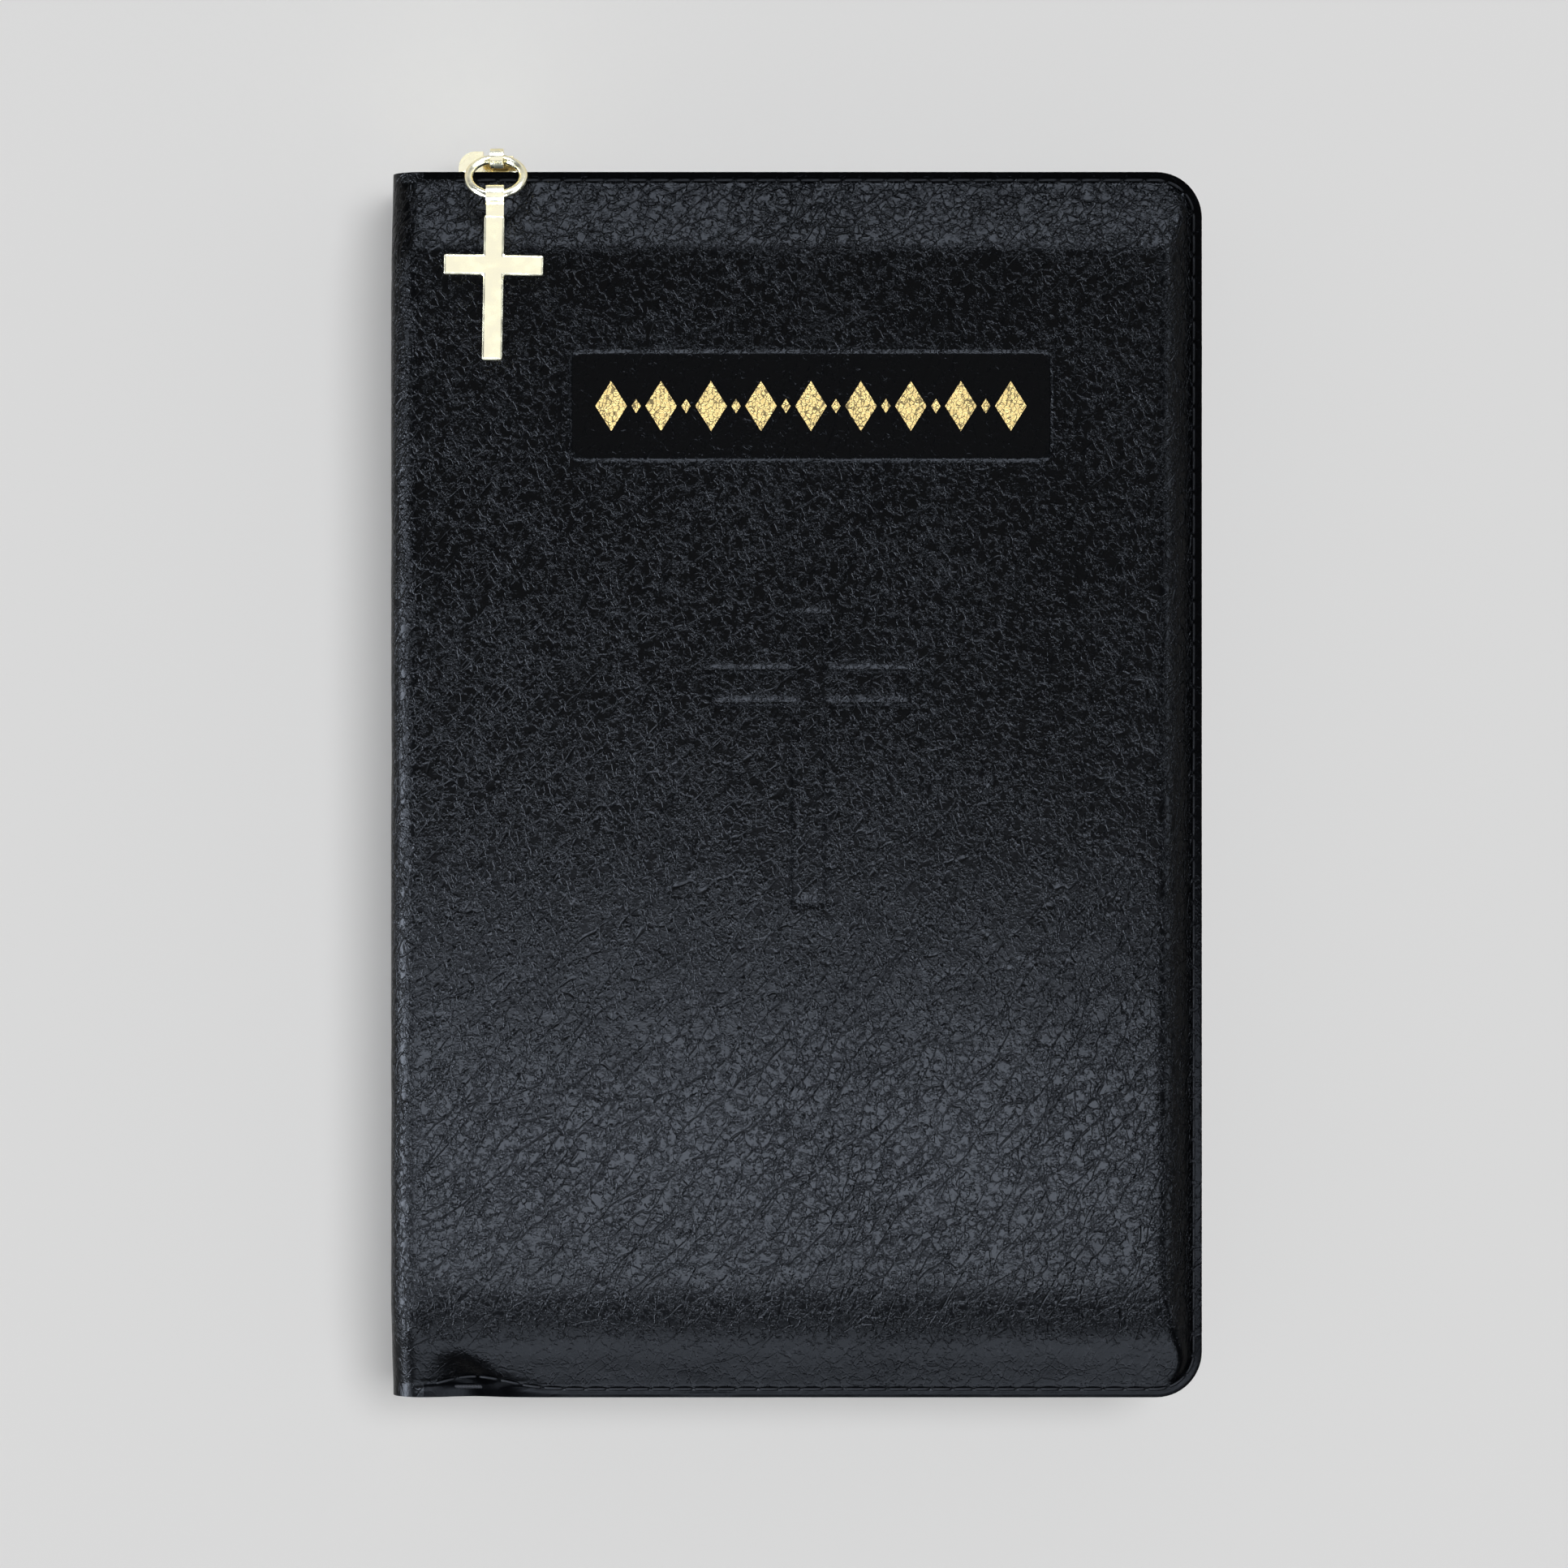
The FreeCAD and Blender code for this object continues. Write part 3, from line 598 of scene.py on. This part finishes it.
def cover_points(rows, pressed):
    """Outer points of the front cover from the hinge to the fore-edge, row by row."""
    inner = column_stations()
    outer = np.linspace(0, 1, 11)[1:]
    x = np.empty((len(rows), len(inner) + len(outer)))
    for i, y in enumerate(rows):
        edge = edge_of_row(np.array([y]))[0]
        x[i, : len(inner)] = inner
        x[i, len(inner) :] = FORE - CORNER + (edge - FORE + CORNER) * outer
    y = np.repeat(rows[:, None], x.shape[1], axis=1)
    height = cover_height(x, y)
    raised = height / RISE
    z = RIM + height
    to_edge = outline_distance(x, y)
    inset = np.where(y < 0, stitch_inset(x), STITCH_INSET) if pressed else STITCH_INSET
    z = z - STITCH_CHANNEL * np.exp(-(((to_edge - inset) / CHANNEL_WIDTH) ** 2))
    if pressed:
        deep, lip = pressings(x, y)
        z = z - (deep - lip) * raised
        z = z - foot_dent(x, y)
    z = z - np.abs(waviness(x, y, z, COVER_WAVES)) * np.clip(to_edge / FLANGE, 0, 1)
    return np.stack([x, y, z], -1)


def foot_dent(x, y):
    """The pinch in the leather where the zip's end is tucked in at the foot."""
    from_foot = y + HEAD
    width = 2.6 * MM + 0.30 * np.maximum(6 * MM - from_foot, 0)
    along = (x - PINCH_X + 0.45 * from_foot) / width
    fold = np.exp(-(along**2)) * np.exp(-((from_foot / PINCH_REACH) ** 4))
    return PINCH_DEPTH * fold


def stitch_inset(x):
    """How far the seam runs from the edge: it swings inwards beside the pinch at the foot."""
    swing = np.exp(-(((x - (SPINE + 13 * MM)) / (7 * MM)) ** 2))
    return STITCH_INSET + STITCH_SWING * swing


def spine_points(rows):
    """Outer points of the spine from the back joint round to the hinge, row by row."""
    ramp = RISE * (HEAD - np.abs(rows) - FLANGE) / (END_SLOPE - FLANGE)
    drops = RISE - np.clip(smooth_low(ramp, RISE, END_ROUND), 0, RISE)
    lower = [-math.pi / 2 - k * math.pi / 2 / 8 for k in range(9)]
    upper = [math.pi - k * math.pi / 2 / 9 for k in range(9)]
    flats = np.linspace(0, 1, 26)[1:-1]
    points = []
    for y, drop in zip(rows, drops):
        low, high = drop + SPINE_RADIUS, TOP - drop - SPINE_RADIUS
        row = [(HINGE + SPINE_RADIUS * math.cos(a), y, low + SPINE_RADIUS * math.sin(a)) for a in lower]
        row += [(SPINE, y, low + (high - low) * f) for f in flats]
        row += [(HINGE + SPINE_RADIUS * math.cos(a), y, high + SPINE_RADIUS * math.sin(a)) for a in upper]
        points.append(row)
    points = np.array(points)
    x, y, z = (points[..., k] for k in range(3))
    fade = np.sin(np.linspace(0, math.pi, points.shape[1]))
    points[..., 0] += np.abs(waviness(x, y, z, SPINE_WAVES)) * fade
    return points


def skin_object(name, points, flip=False):
    """Leather of even thickness under its outer points."""
    rows, columns = points.shape[:2]
    faces = grid_faces(rows, columns)
    if flip:
        faces = [tuple(reversed(f)) for f in faces]
    thing = mesh_object(name, points.reshape(-1, 3), faces)
    solid = thing.modifiers.new("thickness", "SOLIDIFY")
    solid.thickness = LEATHER
    solid.offset = -1
    solid.use_even_offset = False
    add_bevel(thing, SKIN_BEVEL, 2, 50)
    return apply_modifiers(thing)


def press_title(thing, pressed):
    """The pressed title panel has its own, smoother leather."""
    thing.data.materials.append(pressed)
    last = len(thing.data.materials) - 1
    for face in thing.data.polygons:
        inside = box_distance(face.center.x, face.center.y, TITLE_MIDDLE, TITLE_HALF, TITLE_RADIUS) < 0
        if inside and face.center.z > RIM:
            face.material_index = last


def dull_border(thing, border):
    """The strip outside the seam, and the leather's inner side, are smoother and duller."""
    thing.data.materials.append(border)
    last = len(thing.data.materials) - 1
    for face in thing.data.polygons:
        x, y = face.center.x, face.center.y
        inset = stitch_inset(x) if y < 0 else STITCH_INSET
        inner = face.normal.z < -0.3 and face.center.z > MIDDLE
        if x > HINGE and (inner or outline_distance(x, y) < inset):
            face.material_index = last


def front_skin(material, pressed, border):
    """Spine and front cover in one piece of leather, rounding over from the spine onto the cover at the
    hinge.
    """
    rows = row_stations()
    points = np.concatenate([spine_points(rows), cover_points(rows, True)], axis=1)
    thing = skin_object("front_and_spine_leather", points)
    shade(thing, material, None, "black_leather", "front_leather", "spine_leather")
    press_title(thing, pressed)
    dull_border(thing, border)
    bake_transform(thing)


def back_skin(material):
    """The back cover's leather, the front's shape turned over, with nothing pressed in it."""
    rows = row_stations()
    points = cover_points(rows, False)
    points[..., 2] = TOP - points[..., 2]
    thing = skin_object("back_leather_skin", points, flip=True)
    shade(thing, material, "book", "black_leather", "back_leather")


# ------------------------------------------------------------------ rim pieces
def rim_path(inset, start, step_size):
    """Points and outward directions along foot, fore-edge and head at an inset from the edge."""
    right, half, radius = FORE - inset, HEAD - inset, CORNER - inset
    quarter = radius * math.pi / 2
    straight, side = right - radius - start, 2 * (half - radius)

    def turn(angle, middle_y):
        out = (math.cos(angle), math.sin(angle))
        return (right - radius + radius * out[0], middle_y + radius * out[1]), out

    runs = (
        (straight, lambda s: ((start + s, -half), (0, -1))),
        (quarter, lambda s: turn(-math.pi / 2 + s / radius, radius - half)),
        (side, lambda s: ((right, -half + radius + s), (1, 0))),
        (quarter, lambda s: turn(s / radius, half - radius)),
        (math.inf, lambda s: ((right - radius - s, half), (0, 1))),
    )
    total = 2 * straight + side + 2 * quarter
    count = round(total / step_size)
    path = []
    for k in range(count + 1):
        s = total * k / count
        for length, place in runs:
            if s <= length:
                path.append(place(s))
                break
            s -= length
    return path


def stitch_row(name, z, upward):
    """Separate stitches along the border, each one dipping into its holes."""
    fine = rim_path(STITCH_INSET, HINGE + 2 * MM, STITCH_STEP)
    each, long = round(STITCH_PITCH / STITCH_STEP), round(STITCH_LENGTH / STITCH_STEP)
    parts = []
    for first in range(0, len(fine) - long, each):
        run = fine[first : first + long + 1]
        path = []
        for k, ((x, y), _) in enumerate(run):
            lift = math.sin(math.pi * k / long) ** 0.5 if 0 < k < long else 0
            dent = 0
            if upward > 0 and y < CORNER - HEAD:
                y += stitch_inset(x) - STITCH_INSET
                dent = foot_dent(x, y) - cover_height(x, y)
            path.append((x, y, z - dent + upward * (lift - THREAD_SINK) * THREAD * THREAD_ARCH))
        parts.append(tube(path, THREAD, 6))
    return mesh_object(name, *join_parts(parts))


def zip_tape(name, front):
    """Cloth tape down the book's side, from under the border to the coil."""
    low, high = TAPE_LOW.z, TAPE_HIGH.z
    levels = np.linspace(0, 1, 9)
    points = []
    for (x, y), (nx, ny) in rim_path(TAPE_INSET, TAPE_LOW.x, TAPE_STEP):
        for t in levels:
            ripple = 0.10 * MM * math.sin((x + y) * 260 + 3 * t)
            out = -0.35 * MM * math.sin(math.pi * t) + ripple * t * (1 - t)
            z = low + (high - low) * t
            points.append((x + nx * out, y + ny * out, z if front else TOP - z))
    faces = grid_faces(len(points) // len(levels), len(levels))
    return thicken(mesh_object(name, points, faces), TAPE_CLOTH)


def thicken(thing, thickness):
    """Gives a sheet its thickness, half to each side."""
    solid = thing.modifiers.new("thickness", "SOLIDIFY")
    solid.thickness = thickness
    solid.offset = 0
    return apply_modifiers(thing)


def tape_length():
    """How long the tape is, along its run round the book."""
    points = [Vector(p) for p, _ in rim_path(TAPE_INSET, TAPE_LOW.x, TAPE_STEP)]
    return sum((b - a).length for a, b in zip(points, points[1:]))


def ribbon_strip(name):
    """A satin marker in its parting, its slanting tail dropping a little past the pages."""
    low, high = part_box(name)
    pages_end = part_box("pages_middle")[0].y
    middle, half, level = (low.x + high.x) / 2, (high.x - low.x) / 2, (low.z + high.z) / 2
    rows, columns = 90, 7
    points = []
    for r in range(rows):
        t = r / (rows - 1)
        for c in range(columns):
            across = 2 * c / (columns - 1) - 1
            slant = RIBBON_SLANT * (1 + across) * max(0, 1 - 12 * t)
            y = low.y + slant + (high.y - low.y) * t
            past = max(0, pages_end - y)
            drop = 0.22 * past**2 / MM
            curl = 0.10 * MM * across**2 * min(1, past / MM)
            points.append((middle + across * half, y, level - drop / 2 + curl))
    return thicken(mesh_object(f"{name}_strip", points, grid_faces(rows, columns)), RIBBON)


def coil_row(name, front):
    """One row of the zip: a flattened nylon spiral, half a turn out of step with the other."""
    low, high = MIDDLE - COIL_MEET, COIL_HIGH.z - COIL_WIRE
    path = []
    shift = 0 if front else COIL_TURN // 2
    for k, ((x, y), (nx, ny)) in enumerate(rim_path(COIL_INSET, COIL_LOW.x, COIL_PITCH / COIL_TURN)):
        a = 2 * math.pi * (k + shift) / COIL_TURN
        out = COIL_DEPTH * math.sin(a)
        level = 0.5 + 0.5 * math.copysign(abs(math.cos(a)) ** 0.6, math.cos(a))
        z = low + (high - low) * level
        path.append((x + nx * out, y + ny * out, z if front else TOP - z))
    return mesh_object(name, *tube(path, COIL_WIRE, 5))


# ---------------------------------------------------------------- gold fittings
def cross_outline(middle, top, length, span, bar, arm_drop):
    """Corners of a Latin cross in plan, anticlockwise."""
    h, s = bar / 2, span / 2
    low, arm_top = top - length, top - arm_drop
    arm_low = arm_top - bar
    sides = [(h, low), (h, arm_low), (s, arm_low), (s, arm_top), (h, arm_top), (h, top)]
    return [(middle + x, y) for x, y in sides] + [(middle - x, y) for x, y in reversed(sides)]


def turn_in_plan(thing, centre, angle):
    """Turns a piece's mesh in plan about a point."""
    c, s = math.cos(angle), math.sin(angle)
    for v in thing.data.vertices:
        x, y = v.co.x - centre[0], v.co.y - centre[1]
        v.co.x, v.co.y = centre[0] + c * x - s * y, centre[1] + s * x + c * y


def cross_piece(gold):
    """The plain cross, lying a little askew as it hangs."""
    low, high = CROSS_LOW, CROSS_HIGH
    middle, length, span = (low.x + high.x) / 2, high.y - low.y, high.x - low.x
    outline = cross_outline(middle, high.y, length, span, CROSS_BAR, CROSS_ARM_DROP)
    thing = mesh_object("cross_plate", *prism(outline, low.z, high.z), smooth=False)
    add_bevel(thing, CROSS_BEVEL, 3, 40)
    apply_modifiers(thing)
    turn_in_plan(thing, (middle, BAIL_HIGH.y), CROSS_TURN)
    shade(thing, gold, "cross", "gold_plated_metal", "cross_charm")


def ring_piece(gold):
    """The wire ring, leaning as its CAD box does."""
    low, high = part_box("ring")
    centre = (low + high) / 2
    reach = (high.x - low.x) / 2 - RING_WIRE
    rise = math.atan2(high.z - low.z - 2 * RING_WIRE, high.y - low.y - 2 * RING_WIRE)
    steps = 64
    path = []
    for k in range(steps):
        a = 2 * math.pi * k / steps
        flat = reach * math.sin(a)
        path.append(centre + Vector((reach * math.cos(a), -flat * math.cos(rise), flat * math.sin(rise))))
    thing = mesh_object("pull_ring_wire", *tube(path, RING_WIRE, 16, closed=True))
    shade(thing, gold, "pull_ring", "gold_plated_metal", "ring")


def foil_row(foil):
    """A row of lozenges with a small one in each gap, where the title was."""
    low, high = FOIL_LOW.z - 0.05 * MM, FOIL_HIGH.z
    x0, y0 = TITLE_MIDDLE
    wide = (LOZENGE_HALF, FOIL_HIGH.y - y0)
    gaps = LOZENGES - 1
    pitch = (FOIL_HIGH.x - FOIL_LOW.x - 2 * LOZENGE_HALF) / gaps
    parts = []
    for k in range(-gaps, gaps + 1):
        x, (w, h) = x0 + k * pitch / 2, SMALL_LOZENGE if k % 2 else wide
        parts.append(prism([(x - w, y0), (x, y0 - h), (x + w, y0), (x, y0 + h)], low, high))
    thing = mesh_object("title_ornament", *join_parts(parts), smooth=False)
    shade(thing, foil, "front_cover", "title_gold_foil", "title_foil")


# ------------------------------------------------------------------ the studio
def studio():
    """Pale floor and even surroundings."""
    world = bpy.data.worlds.new("studio")
    bpy.context.scene.world = world
    world.use_nodes = True
    background = world.node_tree.nodes["Background"]
    background.inputs["Color"].default_value = (1, 1, 1, 1)
    background.inputs["Strength"].default_value = WORLD_LIGHT
    bpy.context.scene.view_settings.view_transform = "Standard"
    corners = [(x * FLOOR_HALF, y * FLOOR_HALF, 0) for x, y in ((-1, -1), (1, -1), (1, 1), (-1, 1))]
    floor = mesh_object("floor", corners, [(0, 1, 2, 3)])
    pale = Nodes("floor_paint", (0.72, 0.72, 0.72), 0.9, Specular_IOR_Level=0.0)
    floor.data.materials.append(pale.material)


def camera():
    """Straight over the cover, far enough for the view's width."""
    data = bpy.data.cameras.new("camera")
    data.lens, data.sensor_width = LENS, SENSOR
    data.clip_end = VIEW_END
    eye = bpy.data.objects.new("camera", data)
    eye.location = (*VIEW_MIDDLE, RIM + VIEW_WIDTH * LENS / SENSOR)
    GROUP.objects.link(eye)
    bpy.context.scene.camera = eye


def aimed(name, data, place, aim):
    """A light at a place, pointing at another, and hidden from the camera."""
    lamp = bpy.data.objects.new(name, data)
    lamp.location = place
    lamp.rotation_mode = "QUATERNION"
    lamp.rotation_quaternion = (Vector(aim) - Vector(place)).to_track_quat("-Z", "Y")
    lamp.visible_camera = False
    GROUP.objects.link(lamp)
    return lamp


def sun(name, direction, strength, angle, casts=True):
    """A soft sun that lights the matt surfaces only, so that it leaves no spot on the leather."""
    data = bpy.data.lights.new(name, "SUN")
    data.energy = strength
    data.angle = math.radians(angle)
    data.use_shadow = casts
    aimed(name, data, direction, (0, 0, 0)).visible_glossy = False


def softbox(name, place, aim, size, power, colour=(1, 1, 1)):
    """A panel that is only seen as a reflection."""
    data = bpy.data.lights.new(name, "AREA")
    data.shape = "RECTANGLE"
    data.size, data.size_y = size
    data.energy = power
    data.color = colour
    aimed(name, data, place, aim).visible_diffuse = False


def lights():
    """Suns for the matt surfaces, and softboxes for what each slope of the leather reflects."""
    sun("key", (0.22, 0.10, 1.0), 1.45, 20)
    sun("fill", (0, 0, 1.0), 1.2, 5, casts=False)
    softbox("overhead", (0, 0.02, 0.80), (0, 0.02, 0), (0.7, 0.7), 1.3)
    softbox("foot_sheen", (-0.025, -0.066, 0.16), (-0.025, -0.064, TOP), (0.22, 0.05), 1.1, COOL)
    softbox("head_slope", (0.03, 0.50, 0.36), (0.03, 0.09, TOP), (0.6, 0.14), 7.4, COOL)
    softbox("foot_slope", (-0.05, -0.48, 0.38), (0, -0.09, TOP), (0.6, 0.2), 4.6, COOL)
    softbox("side", (-0.50, -0.02, 0.30), (-0.06, -0.02, TOP), (0.4, 0.14), 2.6, COOL)
    softbox("far_side", (0.50, 0.02, 0.26), (0.06, 0.0, TOP), (0.4, 0.14), 2.2, COOL)
    softbox("spine_edge", (-0.30, -0.10, 0.09), (SPINE, -0.05, MIDDLE), (0.3, 0.08), 4.0, COOL)
    softbox("corner", (0.36, 0.42, 0.34), (FORE, HEAD, TOP), (0.12, 0.12), 3.0, COOL)


# ---------------------------------------------------------------- put together
def paint_nodes(material, slot, *nodes):
    """Gives CAD pieces that are shown as they are their material. The slot is not used."""
    for name in nodes:
        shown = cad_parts[name]
        shown.data.materials.clear()
        shown.data.materials.append(material)


def leather_pieces():
    """Both skins and their stitches."""
    leather = leather_material("black_leather")
    border = leather_material("border_leather", 0.3, 0.015)
    front_skin(leather, leather_material("pressed_leather", 0.35), border)
    back_skin(leather)
    thread = thread_material()
    row = stitch_row("front_stitches", RIM, 1)
    shade(row, thread, "front_cover", "stitch_thread", "front_stitching")
    row = stitch_row("back_stitches", RISE, -1)
    shade(row, thread, "book", "stitch_thread", "back_stitching")


def zip_pieces():
    """Front and back tape, each with its row of coil."""
    tape = weave_material("tape_weave", (0.006, 0.006, 0.007), (0.022, 0.022, 0.025), 0.9 * MM)
    nylon = nylon_material()
    for side, body in (("front", "front_cover"), ("back", "book")):
        cloth = zip_tape(f"{side}_tape_cloth", side == "front")
        shade(cloth, tape, body, "zip_tape_cloth", f"{side}_zip_tape")
        flat = (TAPE_HIGH.z - TAPE_LOW.z, tape_length())
        spiral = coil_row(f"{side}_coil_spiral", side == "front")
        shade(spiral, nylon, body, "zip_coil_nylon", f"{side}_zip_coil")


def gold_pieces():
    """Slider, pull, ring, cross, end stops and the foil on the title panel."""
    gold = gold_material()
    paint_nodes(gold, "gold_plated_metal", "slider_body", "pull_pin", "pull_tab", "cross_bail")
    paint_nodes(gold, "zip_stop_metal", "front_zip_stops", "back_zip_stops")
    cross_piece(gold)
    ring_piece(gold)
    foil_row(foil_material())


def inside_pieces():
    """Pages, linings, boards, the spine's mull and the headbands."""
    paint_nodes(page_material(), "page_paper", "pages_front", "pages_middle", "pages_back")
    lining = paper_material("lining_paper", (0.008, 0.008, 0.009), (0.020, 0.020, 0.022))
    cream = paper_material("flyleaf_paper", (0.60, 0.54, 0.41), (0.72, 0.66, 0.52))
    board = paper_material("cover_board", (0.36, 0.30, 0.23), (0.48, 0.41, 0.32), 900)
    paint_nodes(lining, "lining_paper", "front_lining", "back_lining")
    paint_nodes(cream, "lining_paper", "front_flyleaf", "back_flyleaf")
    paint_nodes(board, "cover_board", "front_board", "back_board")
    mull = weave_material("spine_mull", (0.55, 0.50, 0.42), (0.82, 0.77, 0.66), 1.4 * MM)
    paint_nodes(mull, "spine_mull", "spine_liner")
    silk = band_material("headband_silk", (0.55, 0.05, 0.05), (0.86, 0.80, 0.62), 1.6 * MM)
    paint_nodes(silk, "headband_cloth", "headband_head", "headband_foot")


def ribbons():
    """The four satin markers."""
    colours = {
        "red": (0.45, 0.02, 0.03),
        "gold": (0.70, 0.50, 0.10),
        "green": (0.02, 0.22, 0.08),
        "purple": (0.16, 0.03, 0.26),
    }
    for name, colour in colours.items():
        strip = ribbon_strip(f"ribbon_{name}")
        satin = satin_material(f"{name}_satin", colour)
        shade(strip, satin, "book", f"ribbon_{name}_satin", f"ribbon_{name}")


def main():
    studio()
    camera()
    lights()
    leather_pieces()
    zip_pieces()
    gold_pieces()
    inside_pieces()
    ribbons()


main()
